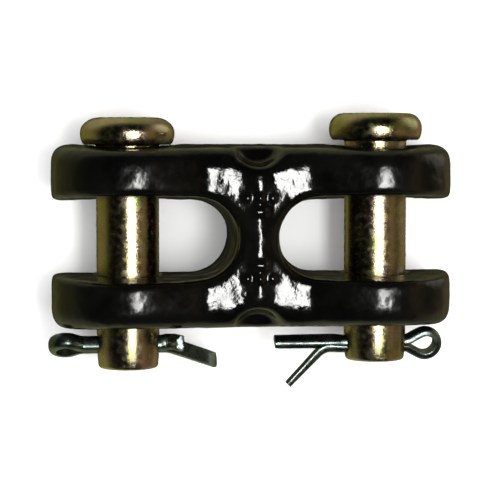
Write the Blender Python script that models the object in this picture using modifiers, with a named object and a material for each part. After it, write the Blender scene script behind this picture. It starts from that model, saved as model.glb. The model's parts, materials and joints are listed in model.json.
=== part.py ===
"""Twin clevis link for a trailer safety chain, built as its five separate pieces.

One forged H-shaped body carries a clevis at each end. A headed pin crosses each clevis,
and a split cotter through the pin's end keeps it in. The link lies on its side: X runs
along the link, Y along the pins with their heads at +Y, and Z is up. The origin is at the
middle of the overall box, on the surface that the round rims of the ears rest on.
"""

import math

import bmesh
import bpy
from mathutils import Matrix, Vector

MM = 0.001

# Body
PIN_SPACING = 51.0 * MM
EAR_RADIUS = 15.5 * MM
BODY_HEIGHT = 37.5 * MM
CLEVIS_GAP = 14.6 * MM
WEB_WIDTH = 10.0 * MM
WAIST_HALF = 11.9 * MM
WAIST_FLAT_HALF = 10.5 * MM
FORGING_DRAFT = math.radians(5)
EDGE_ROUND = 3.0 * MM
POCKET_FLOOR_HALF = 6.5 * MM
POCKET_FLOOR_RADIUS = 4.0 * MM
POCKET_DRAFT = math.radians(22)
POCKET_TILT = math.radians(10)
SEAT_RADIUS = 10.2 * MM
SEAT_DEPTH = 0.25 * MM
BORE_MOUTH = 0.9 * MM

# Pins
PIN_DIAMETER = 12.7 * MM
PIN_TAIL = 8.0 * MM
PIN_END_TAPER = 0.3 * MM
PIN_TAPER_LENGTH = 4.0 * MM
PIN_END_CHAMFER = 0.7 * MM
HEAD_DIAMETER = 19.1 * MM
HEAD_HEIGHT = 5.3 * MM
HEAD_WIDEST = 2.2 * MM
HEAD_LOWER_ROUND = 1.0 * MM
CROSS_HOLE_DIAMETER = 4.2 * MM

# Cotters
WIRE_SQUARENESS = 0.7
STRAND_GAP = 0.2 * MM
EYE_RADIUS = 2.75 * MM
NECK_RADIUS = 1.6 * MM

# Legs of the right cotter, from the far side of its pin
RIGHT_STRAIGHT_START = 2.0 * MM
RIGHT_STRAIGHT_TWIST = math.radians(-30)
RIGHT_STRAIGHT_RUN = 12.6 * MM
RIGHT_STRAIGHT_UNTWIST = math.radians(10)
RIGHT_BENT_START = 3.0 * MM
RIGHT_BEND_RADIUS = 3.4 * MM
RIGHT_BEND_ANGLE = math.radians(46)
RIGHT_BENT_RUN = 9.0 * MM
RIGHT_TIP_THINNING = 0.75

# Legs of the left cotter, from the far side of its pin
LEFT_FRONT_START = 1.2 * MM
LEFT_FRONT_TWIST = math.radians(26)
LEFT_FRONT_RADIUS = 1.4 * MM
LEFT_FRONT_ANGLE = math.radians(84)
LEFT_FRONT_RUN = 8.4 * MM
LEFT_REAR_START = 0.8 * MM
LEFT_REAR_RADIUS = 3.0 * MM
LEFT_REAR_ANGLE = math.radians(40)
LEFT_REAR_RUN = 12.4 * MM

# Clearances
BORE_CLEARANCE = 0.35 * MM
SEAT_CLEARANCE = 0.25 * MM
WIRE_EDGE_CLEARANCE = 0.4 * MM
WIRE_BACK_CLEARANCE = 0.35 * MM
EYE_CLEARANCE = 0.275 * MM

# Sizes that follow from others: the pin's length, and the wire that fills its cross hole
PIN_UNDER_HEAD = BODY_HEIGHT - SEAT_DEPTH + SEAT_CLEARANCE + PIN_TAIL
WIRE_WIDTH = CROSS_HOLE_DIAMETER - 2 * WIRE_EDGE_CLEARANCE
WIRE_THICKNESS = (CROSS_HOLE_DIAMETER - STRAND_GAP) / 2 - WIRE_BACK_CLEARANCE
HOLE_BELOW_BODY = EYE_RADIUS + WIRE_THICKNESS / 2 + EYE_CLEARANCE

# Each pin and its cotter, with what differs from one end of the link to the other
LEFT = {
    "side": "left",
    "sign": -1,
    "lift": 0.0,
    "head_flat": 5.6 * MM,
    "hole_raise": 0.55 * MM,
    "eye_reach": 16.3 * MM,
    "eye_flare": math.radians(38),
    "roll": math.radians(60),
}
RIGHT = {
    "side": "right",
    "sign": 1,
    "lift": 0.95 * MM,
    "head_flat": 6.7 * MM,
    "hole_raise": 0.0,
    "eye_reach": 14.2 * MM,
    "eye_flare": math.radians(30),
    "roll": math.radians(13),
}

# Where the body's centre stands, so that the origin is at the middle of the overall box
BODY_CENTRE_Y = 3.2 * MM
PIN_HEIGHT = EAR_RADIUS

# How finely round shapes are faceted, and how the facets are shaded
ROUND_STEPS = 40
EAR_STEPS = 27
CROSS_HOLE_STEPS = 24
RIM_SEGMENTS = 3
RIM_ANGLE = math.radians(35)
SMOOTH_ANGLE = math.radians(30)

# How far a cutter runs past what it cuts, and how near two points are to be one
EPSILON = 1.0 * MM
SNAP = 0.01 * MM


# ---------------------------------------------------------------- scene and helpers


def clear_scene():
    for old in list(bpy.data.objects):
        bpy.data.objects.remove(old, do_unlink=True)


def new_collection(name):
    collection = bpy.data.collections.new(name)
    bpy.context.scene.collection.children.link(collection)
    return collection


def make_material(name, colour, roughness, metallic):
    material = bpy.data.materials.new(name)
    material.use_nodes = True
    shader = material.node_tree.nodes["Principled BSDF"]
    shader.inputs["Base Color"].default_value = (*colour, 1.0)
    shader.inputs["Roughness"].default_value = roughness
    shader.inputs["Metallic"].default_value = metallic
    return material


def add_object(name, mesh, collection, material=None):
    obj = bpy.data.objects.new(name, mesh)
    collection.objects.link(obj)
    if material is not None:
        obj.data.materials.append(material)
    return obj


def mesh_of(name, bm):
    bmesh.ops.recalc_face_normals(bm, faces=bm.faces)
    mesh = bpy.data.meshes.new(name)
    bm.to_mesh(mesh)
    bm.free()
    return mesh


def add_cutter(name, mesh, collection):
    cutter = add_object(name, mesh, collection)
    cutter.hide_render = True
    cutter.display_type = "WIRE"
    return cutter


def boolean(obj, other, operation="DIFFERENCE"):
    modifier = obj.modifiers.new(other.name, "BOOLEAN")
    modifier.operation = operation
    modifier.object = other


def turned_mesh(name, points):
    """The profile as a chain of edges in XZ, for a Screw modifier round Z."""
    mesh = bpy.data.meshes.new(name)
    edges = [(index, index + 1) for index in range(len(points) - 1)]
    mesh.from_pydata([(x, 0, z) for x, z in points], edges, [])
    return mesh


def turn_profile(obj):
    """Turns the object's profile once round its own Z axis."""
    screw = obj.modifiers.new("turned", "SCREW")
    screw.axis = "Z"
    screw.steps = ROUND_STEPS
    screw.render_steps = ROUND_STEPS
    screw.use_merge_vertices = True
    screw.merge_threshold = SNAP


def shade_smooth(obj):
    obj.data.shade_smooth()
    obj.data.set_sharp_from_angle(angle=SMOOTH_ANGLE)


# ---------------------------------------------------------------- body


def split_at_parting_plane(bm):
    geometry = bm.verts[:] + bm.edges[:] + bm.faces[:]
    bmesh.ops.bisect_plane(bm, geom=geometry, dist=SNAP, plane_co=(0, 0, 0), plane_no=(0, 0, 1))


def gap_prism(sign):
    """The clevis gap: a slot with a round bottom, drafted wider above and below the parting plane."""
    half_gap = CLEVIS_GAP / 2
    depth = EAR_RADIUS + EPSILON
    bottom_centre = WEB_WIDTH / 2 + half_gap
    bm = bmesh.new()
    bmesh.ops.create_cone(
        bm, cap_ends=True, segments=ROUND_STEPS, radius1=half_gap, radius2=half_gap, depth=2 * depth
    )
    split_at_parting_plane(bm)
    for vert in bm.verts:
        growth = 1 + abs(vert.co.z) * math.tan(FORGING_DRAFT) / half_gap
        vert.co.x *= growth
        vert.co.y *= growth
    outer = [vert for vert in bm.verts if vert.co.x * sign > half_gap / ROUND_STEPS]
    bmesh.ops.translate(bm, vec=(sign * PIN_SPACING, 0, 0), verts=outer)
    bmesh.ops.translate(bm, vec=(sign * bottom_centre, 0, 0), verts=bm.verts)
    return mesh_of("gap_prism", bm)


def arc_points(centre, radius, start, end, steps):
    return [
        (
            centre[0] + radius * math.cos(start + (end - start) * step / steps),
            centre[1] + radius * math.sin(start + (end - start) * step / steps),
        )
        for step in range(steps + 1)
    ]


def plan_outline():
    """The outline seen along the pins: two round ears and a flat waist, joined by straight tangent flanks."""
    ear_x = PIN_SPACING / 2
    run = ear_x - WAIST_FLAT_HALF
    to_centre = math.hypot(run, WAIST_HALF)
    swing = math.asin(EAR_RADIUS / to_centre) - math.atan2(WAIST_HALF, run)
    ear_start = -math.pi / 2 - swing
    right_ear = arc_points((ear_x, 0), EAR_RADIUS, ear_start, -ear_start, EAR_STEPS)
    half = right_ear + [(WAIST_FLAT_HALF, WAIST_HALF), (-WAIST_FLAT_HALF, WAIST_HALF)]
    return half + [(-x, -y) for x, y in half]


def outline_prism(name, outline, half_depth, collection):
    """A flat outline in XZ, filled and extruded both ways along Y, as a welded mesh."""
    curve = bpy.data.curves.new(name, "CURVE")
    curve.dimensions = "2D"
    curve.fill_mode = "BOTH"
    curve.extrude = half_depth
    spline = curve.splines.new("POLY")
    spline.points.add(len(outline) - 1)
    for point, (x, y) in zip(spline.points, outline):
        point.co = (x, y, 0, 1)
    spline.use_cyclic_u = True
    flat = bpy.data.objects.new(name, curve)
    collection.objects.link(flat)
    flat.rotation_euler = (math.pi / 2, 0, 0)
    bpy.context.view_layer.update()
    graph = bpy.context.evaluated_depsgraph_get()
    mesh = bpy.data.meshes.new_from_object(flat.evaluated_get(graph))
    mesh.transform(flat.matrix_world)
    bpy.data.objects.remove(flat, do_unlink=True)
    bm = bmesh.new()
    bm.from_mesh(mesh)
    bmesh.ops.remove_doubles(bm, verts=bm.verts, dist=SNAP)
    bpy.data.meshes.remove(mesh)
    return mesh_of(name, bm)


def drafted_block():
    """A block as tall as the body, thickest at the parting plane and drafted above and below it."""
    length = PIN_SPACING + 2 * EAR_RADIUS + 2 * EPSILON
    depth = EAR_RADIUS + EPSILON
    bm = bmesh.new()
    bmesh.ops.create_cube(bm, size=1)
    bmesh.ops.scale(bm, vec=(length, BODY_HEIGHT, 2 * depth), verts=bm.verts)
    split_at_parting_plane(bm)
    for vert in bm.verts:
        vert.co.y -= math.copysign(abs(vert.co.z) * math.tan(FORGING_DRAFT), vert.co.y)
    return mesh_of("drafted_block", bm)


def pocket_cone(y_sign, z_sign):
    """The round scoop between the two clevises, which leaves a thinner web behind it."""
    depth = WAIST_HALF + EPSILON - POCKET_FLOOR_HALF
    bm = bmesh.new()
    bmesh.ops.create_cone(
        bm,
        cap_ends=True,
        segments=ROUND_STEPS,
        radius1=POCKET_FLOOR_RADIUS,
        radius2=POCKET_FLOOR_RADIUS + depth * math.tan(POCKET_DRAFT),
        depth=depth,
    )
    bmesh.ops.translate(bm, vec=(0, 0, POCKET_FLOOR_HALF + depth / 2), verts=bm.verts)
    tilt = Matrix.Rotation(-y_sign * z_sign * POCKET_TILT, 3, "X")
    bmesh.ops.rotate(bm, cent=(0, 0, POCKET_FLOOR_HALF), matrix=tilt, verts=bm.verts)
    if z_sign < 0:
        bmesh.ops.rotate(bm, cent=(0, 0, 0), matrix=Matrix.Rotation(math.pi, 3, "X"), verts=bm.verts)
    bmesh.ops.translate(bm, vec=(0, y_sign * BODY_HEIGHT / 2, 0), verts=bm.verts)
    return mesh_of("pocket_cone", bm)


def bore_profile():
    """Half outline of what is cut round a pin: the flat seats, the flared mouths and the bore."""
    bore = PIN_DIAMETER / 2 + BORE_CLEARANCE
    mouth = bore + BORE_MOUTH
    outer = BODY_HEIGHT / 2 - SEAT_DEPTH
    inner = CLEVIS_GAP / 2 + SEAT_DEPTH
    upper_ear = [
        (SEAT_RADIUS, outer + EPSILON),
        (SEAT_RADIUS, outer),
        (mouth, outer),
        (bore, outer - BORE_MOUTH),
        (bore, inner + BORE_MOUTH),
        (mouth, inner),
        (SEAT_RADIUS, inner),
    ]
    lower_ear = [(radius, -height) for radius, height in reversed(upper_ear)]
    return [(0, outer + EPSILON)] + upper_ear + lower_ear + [(0, -outer - EPSILON)]


def add_bore_cutter(side, x, cutters):
    cutter = add_cutter(f"{side}_bore", turned_mesh("bore", bore_profile()), cutters)
    cutter.rotation_euler = (-math.pi / 2, 0, 0)
    cutter.location = (x, BODY_CENTRE_Y, PIN_HEIGHT)
    turn_profile(cutter)
    return cutter


def build_body(parts, cutters, material):
    body = add_object("link_body", drafted_block(), parts, material)
    plan = add_cutter("plan_prism", outline_prism("plan", plan_outline(), BODY_HEIGHT, cutters), cutters)
    boolean(body, plan, "INTERSECT")
    rounding = body.modifiers.new("rounded_rims", "BEVEL")
    rounding.width = EDGE_ROUND
    rounding.segments = RIM_SEGMENTS
    rounding.limit_method = "ANGLE"
    rounding.angle_limit = RIM_ANGLE
    for side, sign in (("left", -1), ("right", 1)):
        boolean(body, add_cutter(f"{side}_gap", gap_prism(sign), cutters))
    for y_sign in (-1, 1):
        for z_sign in (-1, 1):
            name = f"pocket_{'low' if y_sign < 0 else 'high'}_{'back' if z_sign < 0 else 'front'}"
            boolean(body, add_cutter(name, pocket_cone(y_sign, z_sign), cutters))
    body.location = (0, BODY_CENTRE_Y, PIN_HEIGHT)
    for cutter in cutters.objects:
        cutter.location = body.location
    for side, sign in (("left", -1), ("right", 1)):
        boolean(body, add_bore_cutter(side, sign * PIN_SPACING / 2, cutters))
    shade_smooth(body)
    return body


# ---------------------------------------------------------------- pins


def quarter_round(centre_x, centre_z, across, along, start, steps=4):
    """A quarter of an ellipse, clockwise from the start angle."""
    return [
        (
            centre_x + across * math.cos(start - math.pi / 2 * step / steps),
            centre_z + along * math.sin(start - math.pi / 2 * step / steps),
        )
        for step in range(steps + 1)
    ]


def pin_profile(end):
    """Half outline of a pin, from the middle of its head down to its end; zero is under the head."""
    head = HEAD_DIAMETER / 2
    shank = PIN_DIAMETER / 2
    crown = head - end["head_flat"]
    tip = -PIN_UNDER_HEAD
    points = [(0, HEAD_HEIGHT)]
    points += quarter_round(end["head_flat"], HEAD_WIDEST, crown, HEAD_HEIGHT - HEAD_WIDEST, math.pi / 2)
    points += quarter_round(head - HEAD_LOWER_ROUND, HEAD_WIDEST, HEAD_LOWER_ROUND, HEAD_WIDEST, 0)[1:]
    points += [
        (shank, 0),
        (shank, tip + PIN_TAPER_LENGTH),
        (shank - PIN_END_TAPER, tip + PIN_END_CHAMFER),
        (shank - PIN_END_TAPER - PIN_END_CHAMFER, tip),
        (0, tip),
    ]
    return points


def under_head_y(end):
    return BODY_CENTRE_Y + BODY_HEIGHT / 2 - SEAT_DEPTH + SEAT_CLEARANCE + end["lift"]


def cross_hole_centre(end):
    below = HOLE_BELOW_BODY - end["hole_raise"]
    return Vector((end["sign"] * PIN_SPACING / 2, BODY_CENTRE_Y - BODY_HEIGHT / 2 - below, PIN_HEIGHT))


def build_pin(end, parts, cutters, material):
    name = f"{end['side']}_clevis_pin"
    pin = add_object(name, turned_mesh(name, pin_profile(end)), parts, material)
    pin.location = (end["sign"] * PIN_SPACING / 2, under_head_y(end), PIN_HEIGHT)
    pin.rotation_euler = (-math.pi / 2, 0, 0)
    turn_profile(pin)
    bm = bmesh.new()
    bmesh.ops.create_cone(
        bm,
        cap_ends=True,
        segments=CROSS_HOLE_STEPS,
        radius1=CROSS_HOLE_DIAMETER / 2,
        radius2=CROSS_HOLE_DIAMETER / 2,
        depth=2 * PIN_DIAMETER,
    )
    bmesh.ops.rotate(bm, cent=(0, 0, 0), matrix=Matrix.Rotation(math.pi / 2, 3, "Y"), verts=bm.verts)
    drill = add_cutter(f"{name}_cross_hole", mesh_of("cross_hole", bm), cutters)
    drill.location = cross_hole_centre(end)
    boolean(pin, drill)
    shade_smooth(pin)
    return pin


# ---------------------------------------------------------------- cotters


class Strand:
    """One half of a cotter's wire, drawn from the crown of the eye towards the tip of a leg."""

    def __init__(self, start, side):
        self.place = Vector(start)
        self.frame = Matrix(((0, -side, 0), (side, 0, 0), (0, 0, 1))).to_3x3()
        self.side = side
        self.thickness = 1.0
        self.stations = []
        self.mark()

    @property
    def along(self):
        return self.frame.col[0].copy()

    @property
    def wide(self):
        return self.frame.col[2].copy()

    def mark(self):
        outward = self.along.cross(self.wide) * -self.side
        self.stations.append((self.place.copy(), outward, self.wide, self.thickness))

    def turn(self, axis, angle):
        self.frame = Matrix.Rotation(angle, 3, axis) @ self.frame

    def line(self, length, steps=1, twist=0.0, thin=1.0):
        for _ in range(steps):
            self.place += self.along * (length / steps)
            self.turn(self.along, twist / steps)
            self.thickness *= thin ** (1 / steps)
            self.mark()

    def bend(self, radius, angle, steps):
        """Bends towards the outside of the eye where the angle is positive, and inwards where negative."""
        step_angle = abs(angle) / steps
        sideways = self.side * math.copysign(1, angle)
        for _ in range(steps):
            centre = self.place + self.wide.cross(self.along) * (sideways * radius)
            turning = Matrix.Rotation(sideways * step_angle, 3, self.wide)
            self.place = centre + turning @ (self.place - centre)
            self.frame = turning @ self.frame
            self.mark()


def strand_to_pin(end, side):
    """From the eye's crown round to the strand's straight run, up to the far side of the pin."""
    flare = end["eye_flare"]
    strand = Strand((-end["eye_reach"] + WIRE_THICKNESS / 2, 0, 0), side)
    strand.bend(EYE_RADIUS, -(math.pi / 2 + flare), 9)
    offset = (WIRE_THICKNESS + STRAND_GAP) / 2
    fall = EYE_RADIUS * math.cos(flare) - NECK_RADIUS * (1 - math.cos(flare)) - offset
    strand.line(fall / math.sin(flare))
    strand.bend(NECK_RADIUS, flare, 3)
    strand.line(PIN_DIAMETER / 2 - strand.place.x)
    return strand


def right_legs(end):
    straight = strand_to_pin(end, 1)
    straight.line(RIGHT_STRAIGHT_START, 2, RIGHT_STRAIGHT_TWIST)
    straight.line(RIGHT_STRAIGHT_RUN, 5, RIGHT_STRAIGHT_UNTWIST)
    bent = strand_to_pin(end, -1)
    bent.line(RIGHT_BENT_START, 2, end["roll"])
    bent.bend(RIGHT_BEND_RADIUS, RIGHT_BEND_ANGLE, 5)
    bent.line(RIGHT_BENT_RUN, 3, 0.0, RIGHT_TIP_THINNING)
    return straight, bent


def left_legs(end):
    front = strand_to_pin(end, 1)
    front.line(LEFT_FRONT_START, 3, LEFT_FRONT_TWIST)
    front.bend(LEFT_FRONT_RADIUS, LEFT_FRONT_ANGLE, 6)
    front.line(LEFT_FRONT_RUN, 2)
    rear = strand_to_pin(end, -1)
    rear.line(LEFT_REAR_START)
    rear.bend(LEFT_REAR_RADIUS, LEFT_REAR_ANGLE, 4)
    rear.line(LEFT_REAR_RUN, 3)
    return front, rear


def wire_section(steps=8):
    """Points of the flattened half-round wire, across its width and outwards from its flat face."""
    points = []
    for step in range(steps + 1):
        angle = math.pi * step / steps
        across = math.copysign(abs(math.cos(angle)) ** WIRE_SQUARENESS, math.cos(angle))
        outwards = abs(math.sin(angle)) ** WIRE_SQUARENESS
        points.append((across * WIRE_WIDTH / 2, outwards - 0.5))
    return points


def swept_wire(name, stations):
    """A closed skin through the wire's section at every station, capped at both ends."""
    section = wire_section()
    bm = bmesh.new()
    rings = []
    for place, outward, wide, thickness in stations:
        depth = WIRE_THICKNESS * thickness
        rings.append([bm.verts.new(place + wide * u + outward * (v * depth)) for u, v in section])
    for ring, following in zip(rings, rings[1:]):
        for index, vert in enumerate(ring):
            after = (index + 1) % len(ring)
            bm.faces.new((vert, ring[after], following[after], following[index]))
    bm.faces.new(rings[0])
    bm.faces.new(rings[-1])
    return mesh_of(name, bm)


def build_cotter(end, legs, parts, material):
    first, second = legs(end)
    stations = first.stations[::-1] + second.stations[1:]
    name = f"{end['side']}_cotter_pin"
    cotter = add_object(name, swept_wire(name, stations), parts, material)
    cotter.location = cross_hole_centre(end)
    facing = Matrix.Rotation(math.pi, 4, "Y") if end["sign"] > 0 else Matrix.Identity(4)
    cotter.rotation_euler = (Matrix.Rotation(end["roll"], 4, "X") @ facing).to_euler()
    shade_smooth(cotter)
    return cotter


def main():
    clear_scene()
    parts = new_collection("twin_clevis_link")
    cutters = new_collection("cutters")
    black_paint = make_material("black_paint", (0.012, 0.012, 0.011), 0.12, 0.0)
    yellow_zinc = make_material("yellow_zinc", (0.52, 0.43, 0.2), 0.28, 1.0)
    clear_zinc = make_material("clear_zinc", (0.36, 0.42, 0.4), 0.35, 1.0)
    build_body(parts, cutters, black_paint)
    for end, legs in ((LEFT, left_legs), (RIGHT, right_legs)):
        build_pin(end, parts, cutters, yellow_zinc)
        build_cotter(end, legs, parts, clear_zinc)


main()
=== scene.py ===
"""The looks of a twin clevis link: a forged body in thick black paint, two plated pins and their cotters.

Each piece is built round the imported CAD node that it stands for, in the same frame: X along
the link, Y along the pins with their heads at +Y, and Z up from the floor. Lengths are in metres.
"""

from __future__ import annotations

import json
import logging
import math
from dataclasses import dataclass, field
from enum import Enum

import bmesh
import bpy
from mathutils import Matrix, Vector

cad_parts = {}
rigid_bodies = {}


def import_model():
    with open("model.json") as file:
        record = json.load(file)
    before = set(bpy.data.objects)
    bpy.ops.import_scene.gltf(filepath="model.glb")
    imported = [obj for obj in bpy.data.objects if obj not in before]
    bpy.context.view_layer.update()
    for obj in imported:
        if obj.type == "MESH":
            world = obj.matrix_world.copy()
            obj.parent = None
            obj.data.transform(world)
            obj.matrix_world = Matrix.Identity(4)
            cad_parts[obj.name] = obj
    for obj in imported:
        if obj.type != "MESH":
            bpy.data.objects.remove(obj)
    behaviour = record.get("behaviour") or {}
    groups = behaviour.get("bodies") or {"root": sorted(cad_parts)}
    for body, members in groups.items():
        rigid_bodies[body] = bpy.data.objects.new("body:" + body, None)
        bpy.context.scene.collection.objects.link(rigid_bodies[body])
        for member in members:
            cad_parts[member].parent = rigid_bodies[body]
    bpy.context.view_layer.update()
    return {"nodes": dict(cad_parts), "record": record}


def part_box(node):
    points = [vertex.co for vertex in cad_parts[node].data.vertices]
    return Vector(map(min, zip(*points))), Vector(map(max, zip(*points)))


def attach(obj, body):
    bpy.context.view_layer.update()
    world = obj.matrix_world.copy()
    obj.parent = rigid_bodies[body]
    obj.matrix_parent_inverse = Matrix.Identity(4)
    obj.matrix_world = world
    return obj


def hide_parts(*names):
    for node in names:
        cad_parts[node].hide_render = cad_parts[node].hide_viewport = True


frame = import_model()

log = logging.getLogger("twin_clevis_link")
MM = 0.001
JOINTS = {joint["name"]: joint for joint in frame["record"]["behaviour"]["joints"]}
PIN_X = JOINTS["right_pin_spin"]["pos_m"][0]

Tree = bpy.types.NodeTree
Socket = bpy.types.NodeSocket

# Most of a noise texture's factor lies between these.
NOISE_LOW = 0.3
NOISE_HIGH = 0.7

SCRATCH_DETAIL = 6.0
SCRATCH_ROUGHNESS = 0.65
SPECK_DETAIL = 5.0

# The Mix node has sockets for every kind of value, and these are the colour ones' places.
MIX_FACTOR, MIX_FIRST, MIX_SECOND, MIX_RESULT = 0, 6, 7, 2


class End(Enum):
    """The two ends of the link, with the direction of each along X."""

    LEFT = -1
    RIGHT = 1

    @property
    def label(self) -> str:
        """The word that this end's pieces start with."""
        return self.name.lower()


# ---------------------------------------------------------------- mesh helpers


def deselect_all() -> None:
    """Leaves nothing selected, so that an operator acts only on what is picked next."""
    for obj in bpy.context.view_layer.objects:
        obj.select_set(False)


def activate(obj: bpy.types.Object) -> None:
    """Makes one object the only selected one and the active one.

    Args:
        obj: The object to pick.
    """
    deselect_all()
    obj.select_set(True)
    bpy.context.view_layer.objects.active = obj


def apply_modifier(obj: bpy.types.Object, modifier: bpy.types.Modifier) -> None:
    """Applies a modifier to the object's mesh."""
    activate(obj)
    bpy.ops.object.modifier_apply(modifier=modifier.name)


def apply_place(obj: bpy.types.Object) -> None:
    """Moves the object's place, turn and scale into its mesh."""
    activate(obj)
    bpy.ops.object.transform_apply(location=True, rotation=True, scale=True)


def merged_copy(node: str, name: str, distance: float) -> bpy.types.Object:
    """Copies a CAD node and welds the copy's loose triangles.

    Args:
        node: The CAD node to copy.
        name: The name of the copy.
        distance: How near two points are to be welded.

    Returns:
        The new object, in the scene's collection.
    """
    source = frame["nodes"][node]
    mesh = source.data.copy()
    mesh.transform(source.matrix_world)
    mesh.materials.clear()
    copy = bpy.data.objects.new(name, mesh)
    bpy.context.scene.collection.objects.link(copy)
    activate(copy)
    copy.data.set_sharp_from_angle(angle=math.pi)
    if copy.data.has_custom_normals:
        bpy.ops.mesh.customdata_custom_splitnormals_clear()
    bpy.ops.object.mode_set(mode="EDIT")
    bpy.ops.mesh.select_all(action="SELECT")
    bpy.ops.mesh.remove_doubles(threshold=distance)
    bpy.ops.object.mode_set(mode="OBJECT")
    return copy


def join_into(target: bpy.types.Object, others: list[bpy.types.Object]) -> None:
    """Joins the other objects into the target.

    Args:
        target: The object that keeps its name.
        others: The objects that go into it.
    """
    activate(target)
    for other in others:
        other.select_set(True)
    bpy.ops.object.join()


def hand_over(piece: bpy.types.Object, node: str, material: bpy.types.Material) -> None:
    """Dresses a finished piece, puts it on its body and hides the CAD node that it stands for.

    Args:
        piece: The finished piece.
        node: The CAD node and body of the same name.
        material: The finish that it wears.
    """
    piece.data.materials.clear()
    piece.data.materials.append(material)
    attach(piece, node)
    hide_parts(node)
    log.info("%s: %d faces, on body %s", piece.name, len(piece.data.polygons), node)


# ---------------------------------------------------------------- material helpers


def new_node(tree: Tree, kind: str, **values: object) -> bpy.types.Node:
    """Adds a node and sets its properties.

    Args:
        tree: The node tree that it goes into.
        kind: The node's type name without its ShaderNode prefix.
        values: Properties of the node to set.

    Returns:
        The new node.
    """
    node = tree.nodes.new(f"ShaderNode{kind}")
    for key, value in values.items():
        setattr(node, key, value)
    return node


def noise(tree: Tree, vector: Socket, scale: float, detail: float) -> Socket:
    """Adds a noise texture.

    Args:
        tree: The node tree that it goes into.
        vector: The coordinates that it is made on.
        scale: Its scale.
        detail: How many finer layers it has.

    Returns:
        Its factor output.
    """
    texture = new_node(tree, "TexNoise")
    texture.inputs["Scale"].default_value = scale
    texture.inputs["Detail"].default_value = detail
    tree.links.new(vector, texture.inputs["Vector"])
    return texture.outputs["Fac"]


def ramp(tree: Tree, factor: Socket, stops: tuple) -> Socket:
    """Adds a colour ramp.

    Args:
        tree: The node tree that it goes into.
        factor: What picks the colour.
        stops: The (position, colour) pairs, in order.

    Returns:
        Its colour output.
    """
    node = new_node(tree, "ValToRGB")
    elements = node.color_ramp.elements
    while len(elements) < len(stops):
        elements.new(0.5)
    for element, (position, colour) in zip(elements, stops):
        element.position = position
        element.color = (*colour, 1.0)
    tree.links.new(factor, node.inputs["Fac"])
    return node.outputs["Color"]


def spread(tree: Tree, factor: Socket, low: float, high: float) -> Socket:
    """Maps most of a noise's factor onto a range.

    Args:
        tree: The node tree that it goes into.
        factor: The noise's factor.
        low: The range's low end.
        high: The range's high end.

    Returns:
        The mapped value.
    """
    node = new_node(tree, "MapRange")
    node.inputs["From Min"].default_value = NOISE_LOW
    node.inputs["From Max"].default_value = NOISE_HIGH
    node.inputs["To Min"].default_value = low
    node.inputs["To Max"].default_value = high
    tree.links.new(factor, node.inputs["Value"])
    return node.outputs["Result"]


def bump(tree: Tree, height: Socket, relief: tuple[float, float], under: Socket | None = None) -> Socket:
    """Adds a bump, over another normal where one is given.

    Args:
        tree: The node tree that it goes into.
        height: What raises the surface.
        relief: Its distance and its strength.
        under: The normal that it goes over.

    Returns:
        The new normal.
    """
    distance, strength = relief
    node = new_node(tree, "Bump")
    node.inputs["Distance"].default_value = distance
    node.inputs["Strength"].default_value = strength
    tree.links.new(height, node.inputs["Height"])
    if under is not None:
        tree.links.new(under, node.inputs["Normal"])
    return node.outputs["Normal"]


def drawn_grain_group() -> Tree:
    """Builds the group that gives drawn and turned steel its fine scratches and dull specks.

    Returns:
        A group with inputs Vector, Stretch and Scale, and outputs Scratches and Specks.
    """
    group = bpy.data.node_groups.new("drawn_grain", "ShaderNodeTree")
    group.interface.new_socket("Vector", in_out="INPUT", socket_type="NodeSocketVector")
    group.interface.new_socket("Stretch", in_out="INPUT", socket_type="NodeSocketVector")
    group.interface.new_socket("Scale", in_out="INPUT", socket_type="NodeSocketFloat")
    group.interface.new_socket("Scratches", in_out="OUTPUT", socket_type="NodeSocketFloat")
    group.interface.new_socket("Specks", in_out="OUTPUT", socket_type="NodeSocketFloat")
    entry = group.nodes.new("NodeGroupInput")
    result = group.nodes.new("NodeGroupOutput")
    stretched = new_node(group, "VectorMath", operation="MULTIPLY")
    group.links.new(entry.outputs["Vector"], stretched.inputs[0])
    group.links.new(entry.outputs["Stretch"], stretched.inputs[1])
    scratches = new_node(group, "TexNoise")
    scratches.inputs["Detail"].default_value = SCRATCH_DETAIL
    scratches.inputs["Roughness"].default_value = SCRATCH_ROUGHNESS
    group.links.new(stretched.outputs["Vector"], scratches.inputs["Vector"])
    group.links.new(entry.outputs["Scale"], scratches.inputs["Scale"])
    specks = new_node(group, "TexNoise")
    specks.inputs["Detail"].default_value = SPECK_DETAIL
    group.links.new(entry.outputs["Vector"], specks.inputs["Vector"])
    group.links.new(entry.outputs["Scale"], specks.inputs["Scale"])
    group.links.new(scratches.outputs["Fac"], result.inputs["Scratches"])
    group.links.new(specks.outputs["Fac"], result.inputs["Specks"])
    return group


def start_material(name: str) -> tuple[bpy.types.Material, Tree, bpy.types.Node, Socket]:
    """Makes a node material.

    Args:
        name: The material's name.

    Returns:
        The material, its node tree, its Principled shader and the object coordinates.
    """
    material = bpy.data.materials.new(name)
    material.use_nodes = True
    tree = material.node_tree
    shader = tree.nodes["Principled BSDF"]
    place = new_node(tree, "TexCoord").outputs["Object"]
    return material, tree, shader, place


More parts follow.
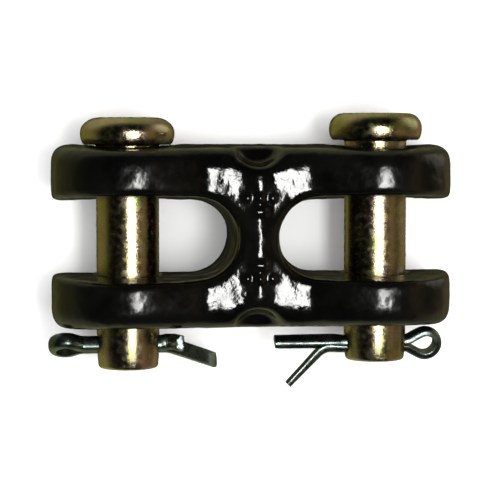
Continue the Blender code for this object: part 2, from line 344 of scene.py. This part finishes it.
@dataclass(frozen=True)
class ThickPaint:
    """Gloss black paint: thick and wet-looking over the web, thin and rubbed dull on the ears."""

    name: str = "thick_black_paint"
    film: tuple = (0.0010, 0.0010, 0.0009)
    thin_film: tuple = (0.0028, 0.0028, 0.0022)
    film_stops: tuple = (0.35, 0.75)
    wet_half: float = 11.0 * MM
    dull_half: float = 22.0 * MM
    wet_roughness: float = 0.05
    dull_roughness: float = 0.14
    haze: float = 0.11
    border_shift: float = 0.8 * MM
    sag_scale: float = 130.0
    peel_scale: float = 420.0
    grit_scale: float = 1500.0
    broad_detail: float = 2.0
    fine_detail: float = 3.0
    sag_bump: tuple = (0.35 * MM, 0.35)
    peel_bump: tuple = (0.12 * MM, 0.4)
    grit_bump: tuple = (0.05 * MM, 0.6)
    ior: float = 1.5

    def build(self) -> bpy.types.Material:
        """Builds the material.

        Returns:
            The finished material.
        """
        material, tree, shader, place = start_material(self.name)
        sag = noise(tree, place, self.sag_scale, self.broad_detail)
        peel = noise(tree, place, self.peel_scale, self.broad_detail)
        grit = noise(tree, place, self.grit_scale, self.fine_detail)
        colour = ramp(tree, sag, tuple(zip(self.film_stops, (self.film, self.thin_film))))
        tree.links.new(colour, shader.inputs["Base Color"])
        tree.links.new(self.rubbed(tree, place, peel), shader.inputs["Roughness"])
        shader.inputs["IOR"].default_value = self.ior
        normal = bump(tree, sag, self.sag_bump)
        normal = bump(tree, peel, self.peel_bump, normal)
        normal = bump(tree, grit, self.grit_bump, normal)
        tree.links.new(normal, shader.inputs["Normal"])
        return material

    def rubbed(self, tree: Tree, place: Socket, patches: Socket) -> Socket:
        """Makes the roughness, low over the web and higher towards the ears, with an uneven border.

        Args:
            tree: The material's node tree.
            place: The object coordinates.
            patches: A noise that shifts the border.

        Returns:
            The roughness output.
        """
        split = new_node(tree, "SeparateXYZ")
        tree.links.new(place, split.inputs["Vector"])
        along = new_node(tree, "Math", operation="ABSOLUTE")
        tree.links.new(split.outputs["X"], along.inputs[0])
        shifted = new_node(tree, "Math", operation="ADD")
        tree.links.new(along.outputs[0], shifted.inputs[0])
        shift = spread(tree, patches, -self.border_shift, self.border_shift)
        tree.links.new(shift, shifted.inputs[1])
        border = new_node(tree, "MapRange")
        border.inputs["From Min"].default_value = self.wet_half
        border.inputs["From Max"].default_value = self.dull_half
        border.inputs["To Min"].default_value = self.wet_roughness
        border.inputs["To Max"].default_value = self.dull_roughness
        tree.links.new(shifted.outputs[0], border.inputs["Value"])
        uneven = new_node(tree, "Math", operation="ADD")
        tree.links.new(border.outputs["Result"], uneven.inputs[0])
        tree.links.new(spread(tree, patches, 0.0, self.haze), uneven.inputs[1])
        return uneven.outputs[0]


@dataclass(frozen=True)
class YellowZinc:
    """Yellow chromated zinc on turned steel, with its pink and green tints and fine turning marks."""

    name: str = "yellow_zinc_plate"
    tints: tuple = (
        (0.30, (0.33, 0.42, 0.15)),
        (0.44, (0.55, 0.48, 0.24)),
        (0.56, (0.60, 0.50, 0.33)),
        (0.68, (0.54, 0.40, 0.32)),
    )
    tint_scale: float = 210.0
    tint_detail: float = 5.0
    stretch: tuple = (1.0, 14.0, 1.0)
    grain_scale: float = 900.0
    roughness: tuple = (0.12, 0.34)
    scratch_bump: tuple = (0.05 * MM, 0.5)
    tint_bump: tuple = (0.2 * MM, 0.15)

    def build(self, grain: Tree) -> bpy.types.Material:
        """Builds the material.

        Args:
            grain: The shared group of scratches and specks.

        Returns:
            The finished material.
        """
        material, tree, shader, place = start_material(self.name)
        marks = new_node(tree, "Group", node_tree=grain)
        marks.inputs["Stretch"].default_value = self.stretch
        marks.inputs["Scale"].default_value = self.grain_scale
        tree.links.new(place, marks.inputs["Vector"])
        tint = noise(tree, place, self.tint_scale, self.tint_detail)
        tree.links.new(ramp(tree, tint, self.tints), shader.inputs["Base Color"])
        dullness = spread(tree, marks.outputs["Specks"], *self.roughness)
        tree.links.new(dullness, shader.inputs["Roughness"])
        shader.inputs["Metallic"].default_value = 1.0
        normal = bump(tree, marks.outputs["Scratches"], self.scratch_bump)
        normal = bump(tree, tint, self.tint_bump, normal)
        tree.links.new(normal, shader.inputs["Normal"])
        return material


@dataclass(frozen=True)
class ClearZinc:
    """Dull blue-grey zinc on drawn wire."""

    name: str = "clear_zinc_wire"
    bright: tuple = (0.30, 0.36, 0.33)
    dull: tuple = (0.10, 0.13, 0.12)
    patch_stops: tuple = (0.36, 0.66)
    patch_scale: float = 300.0
    patch_detail: float = 5.0
    stretch: tuple = (0.12, 1.0, 1.0)
    grain_scale: float = 1500.0
    roughness: tuple = (0.24, 0.4)
    scratch_bump: tuple = (0.05 * MM, 0.6)

    def build(self, grain: Tree) -> bpy.types.Material:
        """Builds the material.

        Args:
            grain: The shared group of scratches and specks.

        Returns:
            The finished material.
        """
        material, tree, shader, place = start_material(self.name)
        marks = new_node(tree, "Group", node_tree=grain)
        marks.inputs["Stretch"].default_value = self.stretch
        marks.inputs["Scale"].default_value = self.grain_scale
        tree.links.new(place, marks.inputs["Vector"])
        patches = noise(tree, place, self.patch_scale, self.patch_detail)
        colour = ramp(tree, patches, tuple(zip(self.patch_stops, (self.dull, self.bright))))
        tree.links.new(colour, shader.inputs["Base Color"])
        dullness = spread(tree, marks.outputs["Specks"], *self.roughness)
        tree.links.new(dullness, shader.inputs["Roughness"])
        shader.inputs["Metallic"].default_value = 1.0
        normal = bump(tree, marks.outputs["Scratches"], self.scratch_bump)
        tree.links.new(normal, shader.inputs["Normal"])
        return material


# ---------------------------------------------------------------- forged body


@dataclass
class LinkBody:
    """The forged H-shaped body, with its rounded arms, centre ridge and raised forging marks."""

    node: str = "link_body"
    weld: float = 0.01 * MM
    first_voxel: float = 0.45 * MM
    last_voxel: float = 0.41 * MM
    rounding_steps: int = 42
    film_steps: int = 5
    smoothing: float = 0.5
    bore_reach: float = 10.8 * MM
    bore_fade: float = 1.6 * MM
    bore_share: float = 0.2
    gap_half: float = 7.3 * MM
    ear_margin: float = 1.0 * MM
    ridge_height: float = 0.5 * MM
    ridge_width: float = 2.0 * MM
    ridge_foot: float = 8.0 * MM
    ridge_run: float = 3.0 * MM
    lumps: tuple = ((3.2 * MM, 0.16 * MM), (1.3 * MM, 0.07 * MM))
    lump_detail: int = 2
    lump_middle: float = 0.5
    waist_half: float = 11.9 * MM
    mark_rise: float = 0.65 * MM
    mark_rounding: float = 0.4
    mark_steps: int = 3
    pip_size: float = 1.3 * MM
    pip_spacing: float = 2.5 * MM
    pip_row: float = 8.0 * MM
    bar_row: float = 5.3 * MM
    bar_length: float = 3.0 * MM

    @property
    def centre(self) -> Vector:
        """The middle of the body."""
        low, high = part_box(self.node)
        return (Vector(low) + Vector(high)) / 2

    def ridge_at(self, x: float) -> float:
        """How high the ridge stands at this place along the link."""
        return self.ridge_height * math.exp(-((x / self.ridge_width) ** 2))

    def mark(self, x: float, y: float, length: float, width: float, face: int) -> bpy.types.Object:
        """Adds one raised mark of the forging's relief.

        Args:
            x: Where it lies along the link.
            y: Where it lies along the pins, from the body's middle.
            length: Its length.
            width: Its width.
            face: 1 for the front of the web, -1 for the back.

        Returns:
            The mark, a low bar with rounded edges.
        """
        deselect_all()
        height = self.centre.z + face * (self.waist_half + self.ridge_at(x))
        bpy.ops.mesh.primitive_cube_add(size=1.0, location=(x, self.centre.y + y, height))
        bar = bpy.context.active_object
        bar.scale = (length, width, 2.0 * self.mark_rise)
        apply_place(bar)
        bevel = bar.modifiers.new("soft_edges", "BEVEL")
        bevel.width = self.mark_rounding * min(length, width)
        bevel.segments = self.mark_steps
        apply_modifier(bar, bevel)
        return bar

    def relief(self) -> list[bpy.types.Object]:
        """Builds the plain pips and bars that the dies leave on both sides of the web.

        Returns:
            The marks, each an object of its own.
        """
        marks = []
        for face in (1, -1):
            for half in (1, -1):
                for x in (-self.pip_spacing, 0.0, self.pip_spacing):
                    pip = self.mark(x, half * self.pip_row, self.pip_size, self.pip_size, face)
                    marks.append(pip)
                bar = self.mark(0.0, half * self.bar_row, self.bar_length, self.pip_size, face)
                marks.append(bar)
        return marks

    def one_skin(self, body: bpy.types.Object, voxel: float) -> None:
        """Remeshes the body as one even skin.

        Args:
            body: The body.
            voxel: The size of the skin's cells.
        """
        remesh = body.modifiers.new("one_skin", "REMESH")
        remesh.mode = "VOXEL"
        remesh.voxel_size = voxel
        apply_modifier(body, remesh)

    def relax(self, body: bpy.types.Object, steps: int, group: str = "") -> None:
        """Smooths the skin, by as much as the vertex group says where one is named.

        Args:
            body: The body.
            steps: How many times it is smoothed.
            group: The vertex group's name, or nothing for the whole skin.
        """
        smooth = body.modifiers.new("relaxed", "SMOOTH")
        smooth.factor = self.smoothing
        smooth.iterations = steps
        smooth.vertex_group = group
        apply_modifier(body, smooth)

    def weigh_rounding(self, body: bpy.types.Object) -> str:
        """Marks the skin for full rounding, and for less of it round the bores.

        Args:
            body: The body.

        Returns:
            The vertex group's name.
        """
        group = body.vertex_groups.new(name="rounding")
        middle = self.centre
        for vert in body.data.vertices:
            place = vert.co - middle
            from_axis = math.hypot(abs(place.x) - PIN_X, place.z)
            away = min(max((from_axis - self.bore_reach) / self.bore_fade, 0.0), 1.0)
            share = self.bore_share + (1.0 - self.bore_share) * away
            in_ear = abs(place.y) > self.gap_half - self.ear_margin
            group.add([vert.index], share if in_ear else 1.0, "REPLACE")
        return group.name

    def raise_ridge(self, body: bpy.types.Object) -> None:
        """Raises the low ridge that runs down the middle of the web, front and back.

        Args:
            body: The body.
        """
        middle = self.centre
        for vert in body.data.vertices:
            place = vert.co - middle
            outward = min(max((abs(place.z) - self.ridge_foot) / self.ridge_run, 0.0), 1.0)
            vert.co.z += math.copysign(self.ridge_at(place.x) * outward, place.z)

    def make_uneven(self, body: bpy.types.Object) -> None:
        """Gives the skin the slight lumps of hammered steel under thick paint, broad and fine.

        Args:
            body: The body.
        """
        for size, height in self.lumps:
            lumps = bpy.data.textures.new("forged_lumps", "CLOUDS")
            lumps.noise_scale = size
            lumps.noise_depth = self.lump_detail
            displace = body.modifiers.new("forged_lumps", "DISPLACE")
            displace.texture = lumps
            displace.texture_coords = "LOCAL"
            displace.strength = height
            displace.mid_level = self.lump_middle
            apply_modifier(body, displace)

    def build(self, paint: bpy.types.Material) -> bpy.types.Object:
        """Builds the body and hands it over.

        Args:
            paint: The body's finish.

        Returns:
            The finished body.
        """
        body = merged_copy(self.node, "forged_body", self.weld)
        self.one_skin(body, self.first_voxel)
        self.relax(body, self.rounding_steps, self.weigh_rounding(body))
        self.raise_ridge(body)
        join_into(body, self.relief())
        self.one_skin(body, self.last_voxel)
        self.relax(body, self.film_steps)
        self.make_uneven(body)
        body.data.shade_smooth()
        hand_over(body, self.node, paint)
        return body


# ---------------------------------------------------------------- pins


@dataclass
class ClevisPin:
    """A headed pin, turned in one piece, with a cross hole for its cotter."""

    end: End
    head_flat: float
    shank: float = 6.35 * MM
    head_height: float = 5.3 * MM
    widest: float = 2.2 * MM
    lower_round: float = 1.0 * MM
    seated: float = 0.2 * MM
    hole_radius: float = 2.1 * MM
    steps: int = 128
    flat_share: float = 0.6
    crown_steps: int = 14
    lower_steps: int = 8
    corner: float = 0.25 * MM
    tip_round: tuple = (
        (0.0, 4.0 * MM),
        (0.25 * MM, 0.7 * MM),
        (0.35 * MM, 0.35 * MM),
        (0.6 * MM, 0.1 * MM),
        (0.95 * MM, 0.0),
    )
    weld: float = 0.005 * MM
    hole_steps: int = 64
    drill_length: float = 4.0
    broken_edge: float = 0.12 * MM
    edge_steps: int = 2
    edge_angle: float = math.radians(50)
    smooth_angle: float = math.radians(35)

    @property
    def node(self) -> str:
        """The CAD node that this pin stands for."""
        return f"{self.end.label}_clevis_pin"

    @property
    def hole(self) -> Vector:
        """The middle of the cross hole."""
        return Vector(JOINTS[f"{self.end.label}_cotter_turn"]["pos_m"])

    def profile(self) -> list[tuple[float, float]]:
        """Works out half of the pin's outline.

        Returns:
            The outline as (radius, distance from under the head towards the head).
        """
        low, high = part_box(self.node)
        head = (high[0] - low[0]) / 2
        tip = -(high[1] - low[1] - self.head_height)
        crown = head - self.head_flat
        drop = self.head_height - self.widest
        points = [(0.0, self.head_height), (self.head_flat * self.flat_share, self.head_height)]
        for step in range(self.crown_steps + 1):
            angle = math.pi / 2 * (1 - step / self.crown_steps)
            radius = self.head_flat + crown * math.cos(angle)
            points.append((radius, self.widest + drop * math.sin(angle)))
        for step in range(1, self.lower_steps + 1):
            angle = math.pi / 2 * step / self.lower_steps
            radius = head - self.lower_round * (1 - math.cos(angle))
            points.append((radius, self.widest - (self.widest + self.seated) * math.sin(angle)))
        points.append((self.shank + self.corner, -self.seated))
        points.append((self.shank, -self.seated - self.corner))
        points += [(self.shank - inward, tip + above) for inward, above in self.tip_round]
        points.append((0.0, tip))
        return points

    def turned(self) -> bpy.types.Object:
        """Spins the outline round the pin's axis.

        Returns:
            The pin, at its place, with no cross hole yet.
        """
        mesh = bpy.data.meshes.new(self.node)
        points = self.profile()
        edges = [(index, index + 1) for index in range(len(points) - 1)]
        mesh.from_pydata([(radius, along, 0.0) for radius, along in points], edges, [])
        pin = bpy.data.objects.new(f"{self.end.label}_turned_pin", mesh)
        bpy.context.scene.collection.objects.link(pin)
        activate(pin)
        bpy.ops.object.mode_set(mode="EDIT")
        bpy.ops.mesh.select_all(action="SELECT")
        bpy.ops.mesh.spin(steps=self.steps, angle=2 * math.pi, center=(0, 0, 0), axis=(0, 1, 0))
        bpy.ops.mesh.select_all(action="SELECT")
        bpy.ops.mesh.remove_doubles(threshold=self.weld)
        bpy.ops.mesh.normals_make_consistent(inside=False)
        bpy.ops.object.mode_set(mode="OBJECT")
        low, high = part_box(self.node)
        pin.location = ((low[0] + high[0]) / 2, high[1] - self.head_height, (low[2] + high[2]) / 2)
        apply_place(pin)
        return pin

    def drill(self, pin: bpy.types.Object) -> None:
        """Drills the cross hole.

        Args:
            pin: The pin to drill.
        """
        deselect_all()
        bpy.ops.mesh.primitive_cylinder_add(
            vertices=self.hole_steps,
            radius=self.hole_radius,
            depth=self.drill_length * self.shank,
            location=self.hole,
            rotation=(0.0, math.pi / 2, 0.0),
        )
        tool = bpy.context.active_object
        cut = pin.modifiers.new("cross_hole", "BOOLEAN")
        cut.object = tool
        cut.operation = "DIFFERENCE"
        cut.solver = "EXACT"
        apply_modifier(pin, cut)
        bpy.data.objects.remove(tool, do_unlink=True)

    def build(self, plate: bpy.types.Material) -> bpy.types.Object:
        """Builds the pin and hands it over.

        Args:
            plate: The pin's finish.

        Returns:
            The finished pin.
        """
        pin = self.turned()
        self.drill(pin)
        edges = pin.modifiers.new("broken_edges", "BEVEL")
        edges.width = self.broken_edge
        edges.segments = self.edge_steps
        edges.limit_method = "ANGLE"
        edges.angle_limit = self.edge_angle
        apply_modifier(pin, edges)
        activate(pin)
        bpy.ops.object.shade_smooth_by_angle(angle=self.smooth_angle)
        hand_over(pin, self.node, plate)
        return pin


# ---------------------------------------------------------------- cotters


@dataclass
class CotterPin:
    """A split cotter of half-round wire, bent at the legs."""

    end: End
    weld: float = 0.01 * MM
    crease_angle: float = math.radians(50)
    crease: float = 0.75
    quad_face_angle: float = math.radians(40)
    quad_shape_angle: float = math.radians(60)
    smooth_angle: float = math.radians(40)
    levels: int = 2

    @property
    def node(self) -> str:
        """The CAD node that this cotter stands for."""
        return f"{self.end.label}_cotter_pin"

    def crease_sharp_edges(self, wire: bpy.types.Object) -> None:
        """Keeps the long edges of the flat side and the cut ends crisp when the wire is subdivided.

        Args:
            wire: The wire to crease.
        """
        bm = bmesh.new()
        bm.from_mesh(wire.data)
        layer = bm.edges.layers.float.get("crease_edge") or bm.edges.layers.float.new("crease_edge")
        for edge in bm.edges:
            if len(edge.link_faces) == 2 and edge.calc_face_angle() > self.crease_angle:
                edge[layer] = self.crease
        bm.to_mesh(wire.data)
        bm.free()

    def build(self, zinc: bpy.types.Material) -> bpy.types.Object:
        """Builds the cotter and hands it over.

        Args:
            zinc: The cotter's finish.

        Returns:
            The finished cotter.
        """
        wire = merged_copy(self.node, f"{self.end.label}_split_cotter", self.weld)
        activate(wire)
        bpy.ops.object.mode_set(mode="EDIT")
        bpy.ops.mesh.select_all(action="SELECT")
        bpy.ops.mesh.tris_convert_to_quads(
            face_threshold=self.quad_face_angle,
            shape_threshold=self.quad_shape_angle,
        )
        bpy.ops.object.mode_set(mode="OBJECT")
        self.crease_sharp_edges(wire)
        soft = wire.modifiers.new("drawn_round", "SUBSURF")
        soft.levels = self.levels
        soft.render_levels = self.levels
        apply_modifier(wire, soft)
        activate(wire)
        bpy.ops.object.shade_smooth_by_angle(angle=self.smooth_angle)
        hand_over(wire, self.node, zinc)
        return wire


# ---------------------------------------------------------------- studio


@dataclass
class Studio:
    """A pale floor, soft lights and the camera."""

    aim: Vector = field(default_factory=lambda: Vector((-0.5 * MM, 0.2 * MM, 15.5 * MM)))
    distance: float = 0.35
    yaw: float = math.radians(-7.0)
    lift: float = math.radians(3.7)
    scale_px_per_m: float = 4880.0
    image_px: float = 500.0
    sensor_mm: float = 36.0
    floor_size: float = 6.0
    floor_tints: tuple = ((0.3, (0.86, 0.86, 0.86)), (0.7, (0.9, 0.9, 0.9)))
    floor_roughness: float = 0.9
    speckle_scale: float = 40.0
    speckle_detail: float = 2.0
    key_place: tuple = (0.06, -0.025, 0.42)
    key_size: tuple = (0.07, 0.15)
    key_power: float = 0.9
    key_colour: tuple = (1.0, 1.0, 0.97)
    ceiling_place: tuple = (0.0, 0.0, 1.2)
    ceiling_size: tuple = (1.6, 1.6)
    ceiling_power: float = 33.0
    ceiling_colour: tuple = (1.0, 1.0, 1.0)
    height_stops: tuple = (
        (0.0, (0.012, 0.012, 0.009)),
        (0.02, (0.03, 0.03, 0.02)),
        (0.06, (0.20, 0.19, 0.06)),
        (0.45, (0.18, 0.17, 0.06)),
        (0.58, (0.03, 0.03, 0.02)),
        (0.7, (0.003, 0.003, 0.003)),
    )
    far_and_near: tuple = (
        (0.15, (2.2, 2.4, 4.0)),
        (0.42, (1.0, 1.0, 1.0)),
        (0.58, (1.0, 1.0, 1.0)),
        (0.85, (1.9, 2.0, 3.4)),
    )
    left_and_right: tuple = ((0.5, (1.0, 1.0, 1.0)), (0.85, (0.3, 0.3, 0.35)))
    wood: tuple = ((0.76, (0.0, 0.0, 0.0)), (0.9, (0.24, 0.165, 0.095)), (1.0, (0.05, 0.04, 0.02)))
    pale_corner: tuple = (0.897, 0.399, -0.19)
    pale_stops: tuple = ((0.95, (0.0, 0.0, 0.0)), (0.975, (0.40, 0.44, 0.42)))

    def floor(self) -> None:
        """Lays the floor that the link rests on."""
        deselect_all()
        bpy.ops.mesh.primitive_plane_add(size=self.floor_size, location=(0.0, 0.0, 0.0))
        floor = bpy.context.active_object
        floor.name = "floor"
        material, tree, shader, place = start_material("pale_floor")
        speckle = noise(tree, place, self.speckle_scale, self.speckle_detail)
        tree.links.new(ramp(tree, speckle, self.floor_tints), shader.inputs["Base Color"])
        shader.inputs["Roughness"].default_value = self.floor_roughness
        floor.data.materials.append(material)
        floor.visible_glossy = False

    def light(
        self, name: str, place: tuple, size: tuple, power: float, colour: tuple, glossy: bool
    ) -> None:
        """Hangs one rectangular soft light that faces the link.

        Args:
            name: The light's name.
            place: Where it hangs.
            size: Its width and height.
            power: Its power in watts.
            colour: Its colour.
            glossy: Whether it shows in reflections.
        """
        lamp = bpy.data.lights.new(name, "AREA")
        lamp.shape = "RECTANGLE"
        lamp.size, lamp.size_y = size
        lamp.energy = power
        lamp.color = colour
        obj = bpy.data.objects.new(name, lamp)
        bpy.context.scene.collection.objects.link(obj)
        obj.location = place
        towards = self.aim - Vector(place)
        across = Vector((0.0, 1.0, 0.0)).cross(-towards).normalized()
        upward = (-towards).normalized().cross(across)
        basis = Matrix((across, upward, (-towards).normalized())).transposed()
        obj.rotation_euler = basis.to_euler()
        obj.visible_glossy = glossy

    def mixed(self, tree: Tree, first: Socket, second: Socket, blend: str) -> Socket:
        """Combines two colours in full.

        Args:
            tree: The world's node tree.
            first: The colour underneath.
            second: The colour that goes over it.
            blend: The Mix node's name for how they combine.

        Returns:
            The combined colour.
        """
        node = new_node(tree, "Mix", data_type="RGBA", blend_type=blend)
        node.inputs[MIX_FACTOR].default_value = 1.0
        tree.links.new(first, node.inputs[MIX_FIRST])
        tree.links.new(second, node.inputs[MIX_SECOND])
        return node.outputs[MIX_RESULT]

    def surroundings(self) -> None:
        """Makes a dim room that is brightest at the horizon at the link's ends."""
        world = bpy.data.worlds.new("dim_room")
        bpy.context.scene.world = world
        world.use_nodes = True
        tree = world.node_tree
        background = tree.nodes["Background"]
        direction = new_node(tree, "TexCoord").outputs["Generated"]
        split = new_node(tree, "SeparateXYZ")
        tree.links.new(direction, split.inputs["Vector"])
        room = self.by_direction(tree, split.outputs["Z"], self.height_stops)
        for axis, stops, blend in (
            ("Y", self.far_and_near, "MULTIPLY"),
            ("X", self.left_and_right, "MULTIPLY"),
            ("X", self.wood, "ADD"),
        ):
            room = self.mixed(tree, room, self.by_direction(tree, split.outputs[axis], stops), blend)
        corner = new_node(tree, "VectorMath", operation="DOT_PRODUCT")
        corner.inputs[1].default_value = self.pale_corner
        tree.links.new(direction, corner.inputs[0])
        pale = self.by_direction(tree, corner.outputs["Value"], self.pale_stops)
        tree.links.new(self.mixed(tree, room, pale, "ADD"), background.inputs["Color"])

    def by_direction(self, tree: Tree, component: Socket, stops: tuple) -> Socket:
        """Colours the room by one component of the direction.

        Args:
            tree: The world's node tree.
            component: The component, -1 at the ramp's start and 1 at its end.
            stops: The ramp's (position, colour) pairs.

        Returns:
            The colour.
        """
        share = new_node(tree, "MapRange")
        share.inputs["From Min"].default_value = -1.0
        tree.links.new(component, share.inputs["Value"])
        return ramp(tree, share.outputs["Result"], stops)

    def camera(self) -> None:
        """Sets the camera over the link, a little towards the heads and the left end."""
        outwards = Vector(
            (
                math.sin(self.yaw) * math.cos(self.lift),
                math.sin(self.lift),
                math.cos(self.yaw) * math.cos(self.lift),
            )
        )
        data = bpy.data.cameras.new("camera")
        data.sensor_width = self.sensor_mm
        data.lens = self.scale_px_per_m * self.distance / self.image_px * self.sensor_mm
        camera = bpy.data.objects.new("camera", data)
        bpy.context.scene.collection.objects.link(camera)
        across = Vector((0.0, 1.0, 0.0)).cross(outwards).normalized()
        upward = outwards.cross(across)
        basis = Matrix((across, upward, outwards)).transposed()
        camera.rotation_euler = basis.to_euler()
        camera.location = self.aim + outwards * self.distance
        bpy.context.scene.camera = camera

    def develop(self) -> None:
        """Keeps the picture's whites and blacks as they are lit, with no film curve."""
        view = bpy.context.scene.view_settings
        view.view_transform = "Standard"
        view.look = "None"

    def build(self) -> None:
        """Sets up the floor, the lights, the room and the camera."""
        self.develop()
        self.floor()
        self.surroundings()
        self.light(
            "key_window", self.key_place, self.key_size, self.key_power, self.key_colour, glossy=True
        )
        self.light(
            "ceiling",
            self.ceiling_place,
            self.ceiling_size,
            self.ceiling_power,
            self.ceiling_colour,
            glossy=False,
        )
        self.camera()


def main() -> None:
    """Builds the link piece by piece, then the studio round it."""
    logging.basicConfig(level=logging.INFO, format="%(name)s %(message)s")
    grain = drawn_grain_group()
    paint = ThickPaint().build()
    plate = YellowZinc().build(grain)
    zinc = ClearZinc().build(grain)
    LinkBody().build(paint)
    pins = (
        ClevisPin(End.LEFT, head_flat=5.6 * MM),
        ClevisPin(End.RIGHT, head_flat=6.7 * MM),
    )
    for pin in pins:
        pin.build(plate)
    for end in End:
        CotterPin(end).build(zinc)
    Studio().build()


if __name__ == "__main__":
    main()
